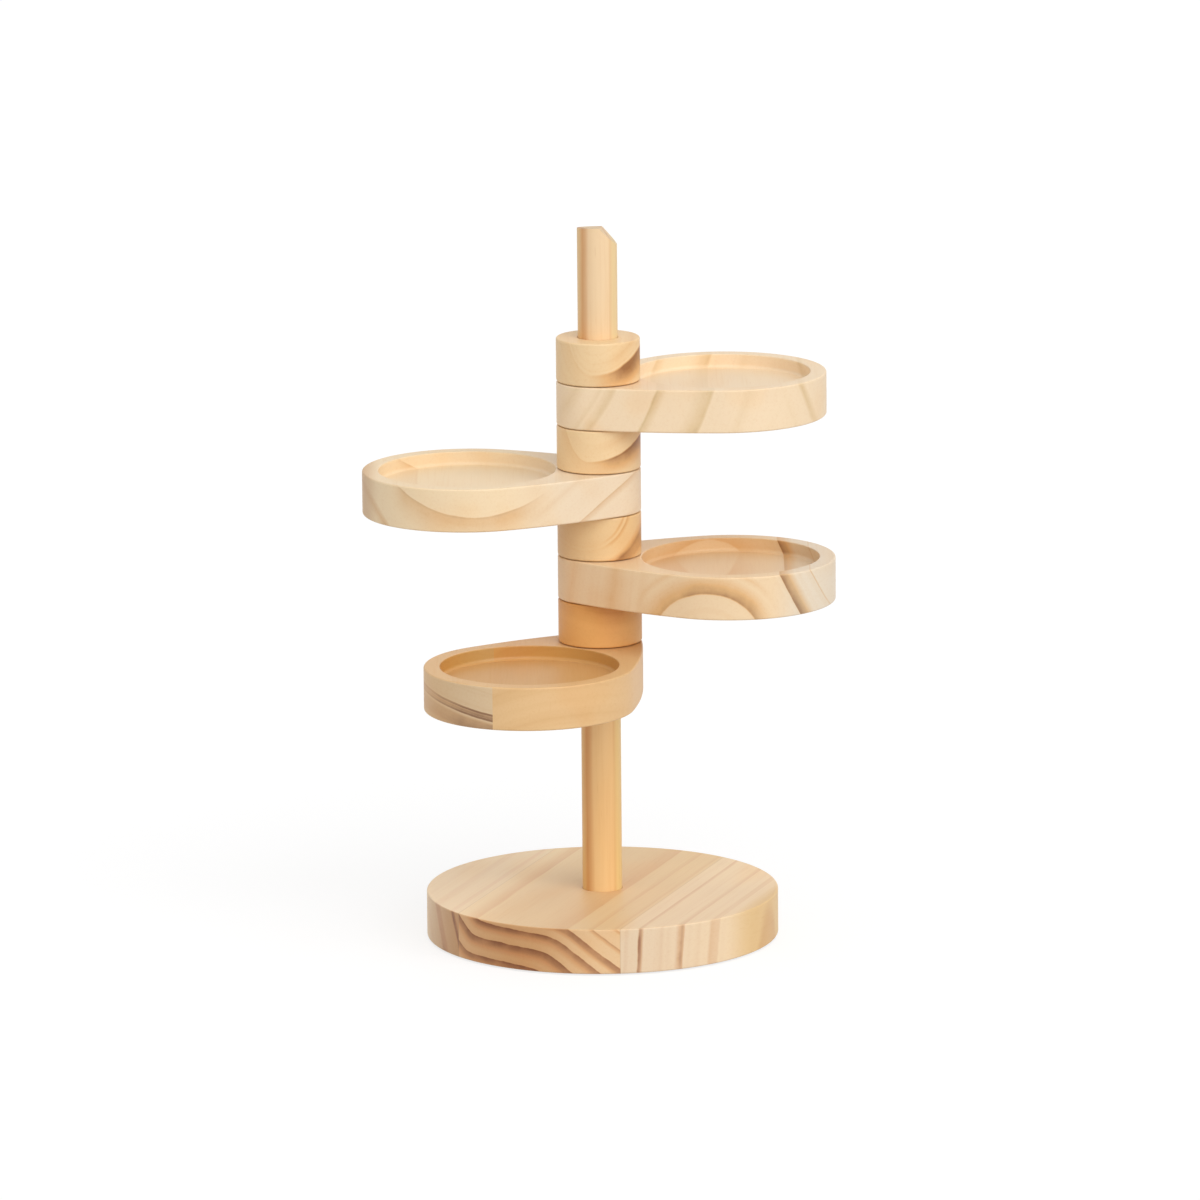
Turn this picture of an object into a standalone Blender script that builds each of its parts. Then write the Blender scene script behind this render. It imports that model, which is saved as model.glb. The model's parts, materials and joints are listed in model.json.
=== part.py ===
"""Rotating display shelf: a round pine base, a post, and four dish trays that swivel on the post.

Metres, +Z up. The origin lies on the post's axis, in the plane that the shelf stands on.
The trays and the collars are stacked in turn on the post. The collars are glued to it, and
each tray turns freely between its neighbours. A cross pin, hidden in a pocket under the
lowest tray, carries the stack.
"""
import math

import bmesh
import bpy
from mathutils import Vector

# Clearances
FIT_GAP = 0.0003             # between pieces that are glued or that rest on each other
RUNNING_GAP = 0.0003         # between the post and a tray's bore
CUT_OVERRUN = 0.002          # how far a cutter runs past the face that it opens

# Base
BASE_RADIUS = 0.070
BASE_THICKNESS = 0.018
BASE_EASING = 0.0006
SOCKET_WEB = 0.0058          # wood left between the post's blind socket and the pad

# Felt pad, let into the underside of the base
PAD_MARGIN = 0.010           # from the edge of the pad to the edge of the base
PAD_THICKNESS = 0.0015
PAD_PROUD = 0.0006

# Post
POST_RADIUS = 0.0079
POST_BELOW_STACK = 0.0835    # bare post between the base and the lowest tray
POST_ABOVE_STACK = 0.0445    # bare post above the top collar, at its front
POST_EASING = 0.0004
TOP_FALL = 0.0017            # the top was sawn a little out of square: how much lower it is at the back
FACET_RUN = 0.0064           # slanted cut at the top: how far it reaches in from the side
FACET_SLOPE = 1.05
FACET_SKEW = 0.078           # how far it runs out of line with the front, for each length to the back

# Trays and collars
TRAY_THICKNESS = 0.0172
COLLAR_THICKNESS = 0.0172
COLLAR_WALL = 0.0084         # wood around the post, in the collars and in the trays' hubs
STACK_EASING = 0.0007
RECESS_RADIUS = 0.0351
RECESS_FLOOR = 0.0117        # wood left under the recess
RECESS_COVE = 0.0015         # rounded foot of the recess wall
RECESS_EASING = 0.0005
DISH_RIM = 0.0065
FLANK_RADIUS = 0.220         # the shallow bow of a tray's flanks, between its hub and its dish
TRAY_ANGLES = {
    "tray_1": math.radians(20),
    "tray_2": math.radians(181),
    "tray_3": math.radians(-6.5),
    "tray_4": math.radians(-122.5),
}
LOWEST_TRAY = "tray_4"

# Cross pin under the lowest tray
PIN_RADIUS = 0.0015
PIN_REACH = 0.0034           # how far each end stands out of the post
PIN_SHELTER = 0.0007         # how far the pin lies up inside its pocket
POCKET_CLEARANCE = 0.0006    # past the ends of the pin

# Wood screw from below, through the base into the post
SCREW_LENGTH = 0.032
SCREW_RADIUS = 0.0020        # at the crest of the thread
SCREW_THREAD_DEPTH = 0.0006
SCREW_HEAD_RADIUS = 0.0040
SCREW_HEAD_RIM = 0.0003
SCREW_HEAD_CONE = 0.0024
SCREW_SHANK = 0.0045         # smooth shank between the head and the thread
SCREW_TIP = 0.0040
SCREW_PITCH = 0.0018
SCREW_SINK = 0.0004          # the head lies this far up in its countersink
DRIVER_SLOT_WIDTH = 0.0011
DRIVER_SLOT_LENGTH = 0.0042
DRIVER_SLOT_DEPTH = 0.0016

# Fineness of the round shapes
BASE_SEGMENTS = 96
POST_SEGMENTS = 40
COLLAR_SEGMENTS = 44
RECESS_SEGMENTS = 60
PIN_SEGMENTS = 16
SCREW_SEGMENTS = 12
DISH_ARC_STEPS = 48
HUB_ARC_STEPS = 14
FLANK_ARC_STEPS = 6
EASING_STEPS = 2
THREAD_STEPS = 4
SMOOTH_ANGLE = math.radians(35)

# Sizes that follow from the ones above
HUB_RADIUS = POST_RADIUS + FIT_GAP + COLLAR_WALL
DISH_RADIUS = RECESS_RADIUS + DISH_RIM
TRAY_REACH = HUB_RADIUS + FIT_GAP + RECESS_RADIUS
BORE_RADIUS = POST_RADIUS + RUNNING_GAP
BASE_UNDERSIDE = PAD_PROUD
BASE_TOP = BASE_UNDERSIDE + BASE_THICKNESS
PAD_RADIUS = BASE_RADIUS - PAD_MARGIN
PAD_CEILING = PAD_THICKNESS + FIT_GAP
SOCKET_FLOOR = PAD_CEILING + SOCKET_WEB
POST_FOOT = SOCKET_FLOOR + FIT_GAP
STACK_BOTTOM = BASE_TOP + POST_BELOW_STACK
STACK_LAYERS = len(TRAY_ANGLES)
STACK_HEIGHT = STACK_LAYERS * (TRAY_THICKNESS + COLLAR_THICKNESS + FIT_GAP + FIT_GAP) - FIT_GAP
STACK_TOP = STACK_BOTTOM + STACK_HEIGHT
POST_TOP = STACK_TOP + POST_ABOVE_STACK
SCREW_HEAD_FACE = PAD_CEILING + SCREW_SINK
SCREW_CORE_RADIUS = SCREW_RADIUS - SCREW_THREAD_DEPTH
PIN_HALF_LENGTH = POST_RADIUS + PIN_REACH
POCKET_DEPTH = PIN_SHELTER + 2 * PIN_RADIUS + FIT_GAP
PIN_LEVEL = STACK_BOTTOM + PIN_SHELTER + PIN_RADIUS
FULL_TURN = 2 * math.pi
QUARTER_TURN = math.pi / 2

# Colours (linear RGB), roughness and metallic value of each finish
PALE_PINE = ((0.78, 0.56, 0.33), 0.55, 0.0)
WARM_PINE = ((0.70, 0.45, 0.22), 0.55, 0.0)
POST_PINE = ((0.76, 0.51, 0.27), 0.52, 0.0)
BASE_PINE = ((0.75, 0.52, 0.29), 0.55, 0.0)
GREY_FELT = ((0.09, 0.08, 0.07), 0.95, 0.0)
ZINC_STEEL = ((0.58, 0.57, 0.55), 0.35, 1.0)


def clear_scene():
    for item in list(bpy.data.objects):
        bpy.data.objects.remove(item, do_unlink=True)


def finish_material(name, finish):
    color, roughness, metallic = finish
    material = bpy.data.materials.new(name)
    material.use_nodes = True
    shader = material.node_tree.nodes["Principled BSDF"]
    shader.inputs["Base Color"].default_value = (*color, 1.0)
    shader.inputs["Roughness"].default_value = roughness
    shader.inputs["Metallic"].default_value = metallic
    return material


def add_object(name, mesh, finish=None, height=0.0, turn=0.0, parent=None):
    """Place a mesh on the post's axis, or on its parent's. One without a finish is a cutter."""
    item = bpy.data.objects.new(name, mesh)
    bpy.context.collection.objects.link(item)
    item.location.z = height
    item.rotation_euler.z = turn
    item.parent = parent
    if finish is None:
        item.hide_render = True
        item.display_type = "WIRE"
    else:
        mesh.materials.append(finish_material(f"{name}_finish", finish))
    return item


def cut(item, cutter):
    modifier = item.modifiers.new(f"cut_{cutter.name}", "BOOLEAN")
    modifier.operation = "DIFFERENCE"
    modifier.solver = "EXACT"
    modifier.object = cutter


def shade(mesh):
    mesh.shade_smooth()
    mesh.set_sharp_from_angle(angle=SMOOTH_ANGLE)


def mesh_from(name, bm):
    bmesh.ops.recalc_face_normals(bm, faces=bm.faces)
    mesh = bpy.data.meshes.new(name)
    bm.to_mesh(mesh)
    bm.free()
    shade(mesh)
    return mesh


def rings_mesh(name, rings, closed):
    """Skin a list of equal rings of points. A closed list is a ring body, an open one is capped."""
    bm = bmesh.new()
    loops = [[bm.verts.new(point) for point in ring] for ring in rings]
    pairs = list(zip(loops, loops[1:]))
    if closed:
        pairs.append((loops[-1], loops[0]))
    else:
        bm.faces.new(loops[0])
        bm.faces.new(loops[-1])
    for low, high in pairs:
        for k in range(len(low)):
            bm.faces.new((low[k - 1], low[k], high[k], high[k - 1]))
    return mesh_from(name, bm)


def circle_points(radius, height, segments):
    angles = [FULL_TURN * k / segments for k in range(segments)]
    return [Vector((radius * math.cos(a), radius * math.sin(a), height)) for a in angles]


def turned_mesh(name, profile, segments, closed=False):
    """Turn a profile of (radius, height) points about the Z axis."""
    rings = [circle_points(radius, height, segments) for radius, height in profile]
    return rings_mesh(name, rings, closed)


def eased_side(radius, low, high, easing):
    """Profile of an outer side, from low to high, with both of its corners rounded."""
    profile = []
    for center, start in ((low + easing, -QUARTER_TURN), (high - easing, 0.0)):
        for k in range(EASING_STEPS + 1):
            angle = start + QUARTER_TURN * k / EASING_STEPS
            profile.append((radius - easing + easing * math.cos(angle), center + easing * math.sin(angle)))
    return profile


def teardrop_outline():
    """The arcs of a tray's dish and hub, and on each flank a wide arc that touches both."""
    hub_arm = FLANK_RADIUS - HUB_RADIUS
    dish_arm = FLANK_RADIUS - DISH_RADIUS
    along = (hub_arm**2 - dish_arm**2 + TRAY_REACH**2) / (2 * TRAY_REACH)
    aside = math.sqrt(hub_arm**2 - along**2)
    dish_end = math.atan2(aside, TRAY_REACH - along)
    hub_end = math.atan2(aside, -along)
    outline = arc_points(TRAY_REACH, 0.0, DISH_RADIUS, -dish_end, dish_end, DISH_ARC_STEPS)
    outline += arc_points(along, -aside, FLANK_RADIUS, dish_end, hub_end, FLANK_ARC_STEPS)
    outline += arc_points(0.0, 0.0, HUB_RADIUS, hub_end, FULL_TURN - hub_end, HUB_ARC_STEPS)
    outline += arc_points(along, aside, FLANK_RADIUS, -hub_end, -dish_end, FLANK_ARC_STEPS)
    return outline


def arc_points(x, y, radius, start, end, steps):
    """Points of an arc about (x, y), without its last one, where the next arc starts."""
    angles = [start + (end - start) * k / steps for k in range(steps)]
    return [Vector((x + radius * math.cos(a), y + radius * math.sin(a), 0)) for a in angles]


def tray_blank_mesh(name):
    """A teardrop board with eased edges, before its recess and bore are cut."""
    bm = bmesh.new()
    face = bm.faces.new([bm.verts.new(point) for point in teardrop_outline()])
    grown = bmesh.ops.extrude_face_region(bm, geom=[face])
    top = [element for element in grown["geom"] if isinstance(element, bmesh.types.BMVert)]
    bmesh.ops.translate(bm, verts=top, vec=Vector((0, 0, TRAY_THICKNESS)))
    rims = [edge for edge in bm.edges if edge.verts[0].co.z == edge.verts[1].co.z]
    bmesh.ops.bevel(bm, geom=rims, offset=STACK_EASING, segments=EASING_STEPS, profile=0.5, affect="EDGES")
    return mesh_from(name, bm)


def recess_cutter_mesh():
    """The dish's hollow: flat floor, rounded foot, straight wall and an eased mouth."""
    mouth = RECESS_RADIUS + RECESS_EASING
    profile = []
    for k in range(EASING_STEPS + 1):
        angle = QUARTER_TURN * k / EASING_STEPS
        radius = RECESS_RADIUS - RECESS_COVE + RECESS_COVE * math.sin(angle)
        profile.append((radius, RECESS_FLOOR + RECESS_COVE - RECESS_COVE * math.cos(angle)))
    profile.append((RECESS_RADIUS, TRAY_THICKNESS - RECESS_EASING))
    profile.append((mouth, TRAY_THICKNESS))
    profile.append((mouth, TRAY_THICKNESS + CUT_OVERRUN))
    return turned_mesh("recess_cutter", profile, RECESS_SEGMENTS)


def screw_outline(growth=0.0):
    """Radius and height of the screw's plain stretches, or of the room around them."""
    cone_top = SCREW_HEAD_RIM + SCREW_HEAD_CONE
    return {
        "head": [(SCREW_HEAD_RADIUS + growth, 0.0), (SCREW_HEAD_RADIUS + growth, SCREW_HEAD_RIM)],
        "shank": [(SCREW_RADIUS + growth, cone_top), (SCREW_RADIUS + growth, cone_top + SCREW_SHANK)],
        "tip": [(SCREW_CORE_RADIUS, SCREW_LENGTH - SCREW_TIP), (SCREW_CORE_RADIUS / 2, SCREW_LENGTH)],
    }


def thread_rings():
    """Rings of the thread: a ridge that climbs one pitch with each turn."""
    start = SCREW_HEAD_RIM + SCREW_HEAD_CONE + SCREW_SHANK
    length = SCREW_LENGTH - SCREW_TIP - start
    steps = round(length / SCREW_PITCH * THREAD_STEPS)
    rings = []
    for step in range(1, steps + 1):
        height = start + length * step / (steps + 1)
        ring = []
        for k in range(SCREW_SEGMENTS):
            turn = k / SCREW_SEGMENTS
            phase = ((height - start) / SCREW_PITCH - turn) % 1.0
            radius = SCREW_CORE_RADIUS + SCREW_THREAD_DEPTH * abs(1 - 2 * phase)
            angle = FULL_TURN * turn
            ring.append(Vector((radius * math.cos(angle), radius * math.sin(angle), height)))
        rings.append(ring)
    return rings


def make_base():
    profile = eased_side(BASE_RADIUS, BASE_UNDERSIDE, BASE_TOP, BASE_EASING)
    base = add_object("base_disc", turned_mesh("base_disc", profile, BASE_SEGMENTS), BASE_PINE)

    hollow = PAD_RADIUS + FIT_GAP
    profile = [(hollow, BASE_UNDERSIDE - CUT_OVERRUN), (hollow, PAD_CEILING)]
    cut(base, add_object("pad_hollow_cutter", turned_mesh("pad_hollow_cutter", profile, BASE_SEGMENTS)))

    socket = POST_RADIUS + FIT_GAP
    profile = [(socket, SOCKET_FLOOR), (socket, BASE_TOP + CUT_OVERRUN)]
    cut(base, add_object("socket_cutter", turned_mesh("socket_cutter", profile, POST_SEGMENTS)))
    return base


def make_pad():
    profile = [(PAD_RADIUS, 0.0), (PAD_RADIUS, PAD_THICKNESS)]
    add_object("base_pad", turned_mesh("base_pad", profile, BASE_SEGMENTS), GREY_FELT)


def make_post():
    profile = [
        (POST_RADIUS - POST_EASING, POST_FOOT),
        (POST_RADIUS, POST_FOOT + POST_EASING),
        (POST_RADIUS, POST_TOP + CUT_OVERRUN),
    ]
    post = add_object("post", turned_mesh("post", profile, POST_SEGMENTS), POST_PINE)
    cut(post, post_top_cutter())
    return post


def post_top_cutter():
    """A block whose underside is the sawn top of the post, with the slanted cut at its right."""
    reach = POST_RADIUS + CUT_OVERRUN
    ceiling = POST_TOP + 2 * CUT_OVERRUN
    bm = bmesh.new()
    sides = []
    for side in (-reach, reach):
        top = POST_TOP - TOP_FALL * (side + POST_RADIUS) / (2 * POST_RADIUS)
        edge = POST_RADIUS - FACET_RUN + FACET_SKEW * side
        foot = top - FACET_SLOPE * (reach - edge)
        outline = [(-reach, top), (edge, top), (reach, foot), (reach, ceiling), (-reach, ceiling)]
        sides.append([bm.verts.new((x, side, z)) for x, z in outline])
    for outline in sides:
        bm.faces.new(outline)
    for k in range(len(sides[0])):
        bm.faces.new((sides[0][k - 1], sides[0][k], sides[1][k], sides[1][k - 1]))
    return add_object("post_top_cutter", mesh_from("post_top_cutter", bm))


def make_screw(base, post):
    outline = screw_outline()
    turned = outline["head"] + outline["shank"]
    plain = [circle_points(radius, height, SCREW_SEGMENTS) for radius, height in turned]
    tip = [circle_points(radius, height, SCREW_SEGMENTS) for radius, height in outline["tip"]]
    mesh = rings_mesh("base_screw", plain + thread_rings() + tip, closed=False)
    screw = add_object("base_screw", mesh, ZINC_STEEL, height=SCREW_HEAD_FACE)
    cut(screw, driver_slot_cutter())

    room = screw_outline(growth=FIT_GAP)
    mouth = (SCREW_HEAD_RADIUS + FIT_GAP, -SCREW_SINK - CUT_OVERRUN)
    straight = (SCREW_RADIUS + FIT_GAP, SCREW_LENGTH - SCREW_TIP)
    end = (SCREW_CORE_RADIUS, SCREW_LENGTH + FIT_GAP)
    profile = [mouth, room["head"][1], room["shank"][0], straight, end]
    cutter = add_object(
        "screw_room_cutter",
        turned_mesh("screw_room_cutter", profile, 2 * SCREW_SEGMENTS),
        height=SCREW_HEAD_FACE,
    )
    cut(base, cutter)
    cut(post, cutter)


def driver_slot_cutter():
    """A cross of two crossed slots in the face of the screw's head."""
    half_long = DRIVER_SLOT_LENGTH / 2
    half_wide = DRIVER_SLOT_WIDTH / 2
    arm = [(half_long, -half_wide), (half_long, half_wide), (half_wide, half_wide)]
    cross = [Vector((x, y, 0)) for x, y in arm]
    for _ in range(3):
        cross += [Vector((-point.y, point.x, 0)) for point in cross[-len(arm):]]
    lowest = Vector((0, 0, -CUT_OVERRUN))
    highest = Vector((0, 0, DRIVER_SLOT_DEPTH))
    rings = [[point + lowest for point in cross], [point + highest for point in cross]]
    mesh = rings_mesh("driver_slot_cutter", rings, closed=False)
    return add_object("driver_slot_cutter", mesh, height=SCREW_HEAD_FACE)


def make_pin(post):
    profile = [(PIN_RADIUS, -PIN_HALF_LENGTH), (PIN_RADIUS, PIN_HALF_LENGTH)]
    mesh = turned_mesh("stop_pin", profile, PIN_SEGMENTS)
    pin = add_object("stop_pin", mesh, ZINC_STEEL, height=PIN_LEVEL)
    pin.rotation_euler.x = QUARTER_TURN

    hole = PIN_RADIUS + FIT_GAP
    reach = POST_RADIUS + CUT_OVERRUN
    mesh = turned_mesh("pin_hole_cutter", [(hole, -reach), (hole, reach)], PIN_SEGMENTS)
    cutter = add_object("pin_hole_cutter", mesh, height=PIN_LEVEL)
    cutter.rotation_euler.x = QUARTER_TURN
    cut(post, cutter)


def make_bore_cutter():
    """One long cylinder bores every tray."""
    profile = [(BORE_RADIUS, STACK_BOTTOM - CUT_OVERRUN), (BORE_RADIUS, STACK_TOP + CUT_OVERRUN)]
    return add_object("bore_cutter", turned_mesh("bore_cutter", profile, POST_SEGMENTS))


def make_tray(name, height, recess_mesh, bore_cutter):
    finish = WARM_PINE if name == LOWEST_TRAY else PALE_PINE
    tray = add_object(name, tray_blank_mesh(name), finish, height=height, turn=TRAY_ANGLES[name])
    recess = add_object(f"{name}_recess_cutter", recess_mesh, parent=tray)
    recess.location.x = TRAY_REACH
    cut(tray, recess)
    cut(tray, bore_cutter)
    if name == LOWEST_TRAY:
        pocket = PIN_HALF_LENGTH + POCKET_CLEARANCE
        profile = [(pocket, -CUT_OVERRUN), (pocket, POCKET_DEPTH)]
        mesh = turned_mesh("pin_pocket_cutter", profile, POST_SEGMENTS)
        cut(tray, add_object("pin_pocket_cutter", mesh, parent=tray))


def collar_mesh():
    profile = eased_side(HUB_RADIUS, 0.0, COLLAR_THICKNESS, STACK_EASING)
    bore = POST_RADIUS + FIT_GAP
    profile += [(bore, COLLAR_THICKNESS), (bore, 0.0)]
    return turned_mesh("collar", profile, COLLAR_SEGMENTS, closed=True)


def make_stack():
    """Lay the trays and the collars in turn, from the lowest tray up."""
    recess_mesh = recess_cutter_mesh()
    bore_cutter = make_bore_cutter()
    height = STACK_BOTTOM
    for name in reversed(TRAY_ANGLES):
        make_tray(name, height, recess_mesh, bore_cutter)
        height += TRAY_THICKNESS + FIT_GAP
        add_object(name.replace("tray", "collar"), collar_mesh(), WARM_PINE, height=height)
        height += COLLAR_THICKNESS + FIT_GAP


def main():
    clear_scene()
    base = make_base()
    make_pad()
    post = make_post()
    make_screw(base, post)
    make_pin(post)
    make_stack()


main()
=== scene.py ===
"""Looks of the rotating display shelf: fine meshes, solid pine through each piece, and a studio.

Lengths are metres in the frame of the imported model, and millimetres in the patterns of wood, felt and
steel. The wood is solid: every board has a grain direction and growth rings in its own frame, so its
rims, floors and sides show the same rings.
"""
import json
import math

import bmesh
import bpy
from mathutils import Matrix, Vector


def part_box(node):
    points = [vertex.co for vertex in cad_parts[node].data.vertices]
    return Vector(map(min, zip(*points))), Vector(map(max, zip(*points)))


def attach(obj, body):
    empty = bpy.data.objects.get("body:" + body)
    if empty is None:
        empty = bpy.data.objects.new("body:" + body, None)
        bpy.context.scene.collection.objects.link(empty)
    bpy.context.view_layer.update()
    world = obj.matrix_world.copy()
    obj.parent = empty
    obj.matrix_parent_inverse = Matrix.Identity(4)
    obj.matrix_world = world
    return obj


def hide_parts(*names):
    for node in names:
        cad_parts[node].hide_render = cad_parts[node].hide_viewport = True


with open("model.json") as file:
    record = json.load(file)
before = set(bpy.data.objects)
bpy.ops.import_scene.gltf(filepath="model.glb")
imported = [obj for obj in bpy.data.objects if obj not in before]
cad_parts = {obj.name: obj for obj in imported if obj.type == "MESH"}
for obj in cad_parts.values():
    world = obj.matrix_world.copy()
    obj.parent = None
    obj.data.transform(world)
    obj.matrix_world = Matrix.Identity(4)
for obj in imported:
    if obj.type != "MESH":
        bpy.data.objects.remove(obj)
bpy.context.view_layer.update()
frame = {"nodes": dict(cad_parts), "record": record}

MM = 1000.0
FULL_TURN = 2 * math.pi
QUARTER_TURN = math.pi / 2
BLACK = (0.0, 0.0, 0.0)
WHITE = (1.0, 1.0, 1.0)

# Details of the shapes
SKIN = 0.00003               # how far the fine meshes stay inside the solids
FIT_GAP = 0.0003
GLUE_GAP = 0.0001            # between the post and what is glued to it
BASE_EASING = 0.0006
STACK_EASING = 0.0007
BORE_EASING = 0.0003
POST_EASING = 0.0004
PAD_EASING = 0.0004
RECESS_EASING = 0.0005
RECESS_COVE = 0.0015
SOCKET_WEB = 0.0058
TOP_FALL = 0.0017            # how much lower the sawn top of the post is at its back
FACET_RUN = 0.0064
FACET_SLOPE = 1.05
FACET_SKEW = 0.078
FLANK_RADIUS = 0.220
POCKET_CLEARANCE = 0.0006
CUT_OVERRUN = 0.002
SHANK_ROOM = 0.0023
HEAD_ROOM = 0.0043
HEAD_ROOM_RIM = 0.0007
HEAD_ROOM_DEPTH = 0.0031

# Fineness of the round shapes
BASE_SEGMENTS = 256
POST_SEGMENTS = 96
COLLAR_SEGMENTS = 128
RECESS_SEGMENTS = 192
DISH_ARC_STEPS = 180
HUB_ARC_STEPS = 48
FLANK_ARC_STEPS = 24
EASING_STEPS = 4
ROUND_PROFILE = 0.5          # shape of a bevel that is part of a circle
SMOOTH_ANGLE = math.radians(40)

# Camera, fitted to the photograph
CAMERA_DISTANCE = 4.0
CAMERA_ELEVATION = math.radians(12.16)
CAMERA_ROLL = math.radians(-0.49)
CAMERA_TARGET = Vector((0, 0, 0.13567))
FOCAL_PIXELS = 10099.75
PHOTO_PIXELS = 1200
SENSOR_MM = 36.0

# Studio. The strength of a lamp is the brightness of a white surface that faces it.
FLOOR_RADIUS = 12.0
FLOOR_DROP = 0.00005         # keeps the floor clear of the pad's own face
FLOOR_SEGMENTS = 96
FLOOR_COLOR = (0.62, 0.61, 0.60)
SHADOW_COLOR = (0.30, 0.30, 0.30)    # the floor as the camera sees it, under its glow
FLOOR_GLOW = 0.74
FLOOR_ROUGHNESS = 0.9
AMBIENT = 0.60
KEY_STRENGTH = 0.55
KEY_SOFTNESS = math.radians(65)
KEY_AZIMUTH = math.radians(30)
KEY_ELEVATION = math.radians(35)
FILL_STRENGTH = 0.05
FILL_SOFTNESS = math.radians(70)
FILL_AZIMUTH = math.radians(-55)
FILL_ELEVATION = math.radians(25)

# Wood. Each noise has its rates per millimetre along and across the grain, its detail and its roughness.
WANDER = ((0.010, 0.035), 2.0, 0.5)    # slow bends of the growth rings
DRIFT = ((0.030, 0.18), 3.0, 0.5)      # small waves of the growth rings
FIBRE = ((0.035, 1.3), 3.0, 0.6)       # fine streaks
USUAL_WANDER = 2.0           # how much of the two a stave's rings take, unless it says so itself
USUAL_DRIFT = 0.5
FINE_RINGS = (0.004, 0.45)   # rates of the faint rings between the drawn ones
WOOD_TINTS = [               # rates, detail, low and high threshold, strength and tint
    ((0.012, 0.045), 2.0, 0.02, 0.28, 0.30, (0.93, 0.88, 0.86)),
    ((0.015, 0.050), 1.0, 0.00, 0.22, 0.40, (1.00, 0.90, 0.76)),
    ((0.035, 1.100), 3.0, -0.05, 0.30, 0.28, (0.90, 0.80, 0.68)),
    ((0.100, 2.200), 1.0, 0.20, 0.30, 0.22, (0.72, 0.52, 0.36)),
]
CORE_END = 0.75              # strength at the outer end of a ring's dark core
RING_UNEVENNESS = 0.8
LONG_GRAIN_LATE = 0.34       # strength of the rings where the surface runs along the fibres
END_GRAIN_TURN = (0.25, 0.95)
WARM_AT = 0.45
GLUE_BLEND = 0.06
GLUE_WIDTH = 0.35
GLUE_STRENGTH = 0.25
GLUE_COLOR = (0.42, 0.26, 0.14)
WOOD_ROUGHNESS = 0.47
FIBRE_ROUGHNESS = 0.12
LATE_ROUGHNESS = -0.06
WOOD_RELIEF = 0.00005        # height of the relief in metres
FIBRE_RELIEF = 0.6           # shares of the fibres and the late wood in it
LATE_RELIEF = 0.5
HOLLOW_SHADE_EDGE = 0.4            # how the painted shade of a hollow fades out past its wall, and at its floor
HOLLOW_SHADE_FADE = 1.5
ALONG, ACROSS = range(2)     # the ways that a shade or a swell can run in a board
BASE_GRAIN = math.radians(70.5)
COLLAR_SEED = 43.7
COLLAR_SEED_STEP = 7.3
FLAME_LEVEL = (1.4, 0.07, -2.0)     # rate up, rate across and start of the rings in the flame's middle
FLAME_FALLING = (1.0, 0.87, 0.0)    # the same at its right
FLAME_RISING = (1.0, 1.0, 33.0)     # and at its left
FLAME_FOLD = 4.0
FLAME_TURN = 2.0

# Felt and steel. Each noise has its rates along x, y and z, its detail and its roughness.
FELT_HAIRS = ((2.4, 2.4, 2.4), 6.0, 0.75)
FELT_CLUMPS = ((0.25, 0.25, 0.25), 3.0, 0.5)
FELT_SHARES = (0.7, 0.5)     # of the hairs and the clumps in the colour
FELT_TONES = [(-0.35, (0.045, 0.040, 0.036)), (0.0, (0.085, 0.077, 0.068)), (0.35, (0.15, 0.135, 0.12))]
FELT_ROUGHNESS = 0.95
FELT_SHEEN = 0.3
FELT_RELIEF = 0.0003
STEEL_CLOUD = ((0.8, 0.8, 0.8), 4.0, 0.6)
STEEL_STREAK = ((6.0, 6.0, 0.6), 2.0, 0.5)
STEEL_STREAK_SHARE = 0.4
STEEL_TONES = [(-0.4, (0.42, 0.41, 0.38)), (0.0, (0.58, 0.57, 0.55)), (0.4, (0.70, 0.68, 0.62))]
STEEL_ROUGHNESS = (0.34, 0.25)
STEEL_RELIEF = 0.00004


# Meshes

def mesh_from(name, bm):
    bmesh.ops.recalc_face_normals(bm, faces=bm.faces)
    mesh = bpy.data.meshes.new(name)
    bm.to_mesh(mesh)
    bm.free()
    mesh.shade_smooth()
    mesh.set_sharp_from_angle(angle=SMOOTH_ANGLE)
    return mesh


def circle_points(radius, height, segments):
    angles = [FULL_TURN * k / segments for k in range(segments)]
    return [Vector((radius * math.cos(a), radius * math.sin(a), height)) for a in angles]


def turned_mesh(name, profile, segments, closed=False):
    """Turn a profile of (radius, height) points. A closed profile makes a ring, an open one is capped."""
    bm = bmesh.new()
    loops = []
    for radius, height in profile:
        loops.append([bm.verts.new(point) for point in circle_points(radius, height, segments)])
    pairs = list(zip(loops, loops[1:]))
    if closed:
        pairs.append((loops[-1], loops[0]))
    else:
        bm.faces.new(loops[0])
        bm.faces.new(loops[-1])
    for low, high in pairs:
        for k in range(segments):
            bm.faces.new((low[k - 1], low[k], high[k], high[k - 1]))
    return mesh_from(name, bm)


def corner(radius, height, easing, start, outward=1):
    """Points of a rounded corner about (radius, height), a quarter turn from the start angle."""
    points = []
    for k in range(EASING_STEPS + 1):
        angle = start + outward * QUARTER_TURN * k / EASING_STEPS
        points.append((radius + easing * math.cos(angle), height + easing * math.sin(angle)))
    return points


def eased_side(radius, low, high, easing):
    lower = corner(radius - easing, low + easing, easing, -QUARTER_TURN)
    upper = corner(radius - easing, high - easing, easing, 0.0)
    return lower + upper


def eased_bore(radius, low, high, easing):
    upper = corner(radius + easing, high - easing, easing, QUARTER_TURN)
    lower = corner(radius + easing, low + easing, easing, math.pi)
    return upper + lower


def add_object(name, mesh, material=None, height=0.0):
    item = bpy.data.objects.new(name, mesh)
    bpy.context.collection.objects.link(item)
    item.location.z = height
    if material:
        mesh.materials.append(material)
    return item


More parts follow.
